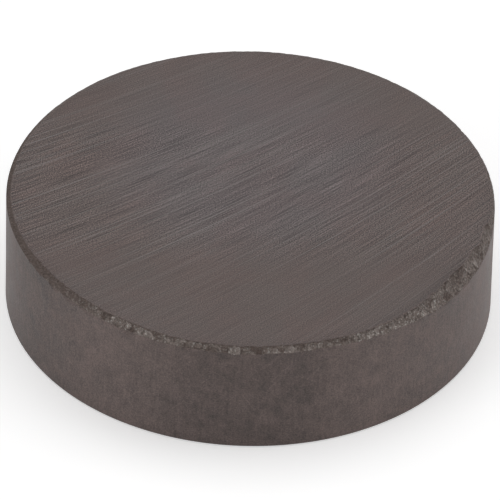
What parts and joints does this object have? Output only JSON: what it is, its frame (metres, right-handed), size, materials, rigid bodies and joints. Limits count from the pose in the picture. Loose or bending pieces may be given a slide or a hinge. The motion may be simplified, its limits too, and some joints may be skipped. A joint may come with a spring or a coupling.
{
  "type": "disc magnet",
  "caption": "Plain sintered ferrite disc magnet with ground flat faces, an as-pressed side wall and a worn, chipped upper rim.",
  "frame": {"origin": "centre of the lower flat face, which is the face that the disc rests on", "axes": "+Z along the disc's axis, from the lower face to the upper face with the wide edge break; +X to the right in the picture"},
  "size_m": [0.02, 0.02, 0.005],
  "materials": {
    "ferrite": "ground faces with fine grinding lines, matt pressed side wall, rough fracture on the chipped rim"
  },
  "bodies": {
    "root": {"magnet_disc": "ferrite"}
  },
  "joints": []
}
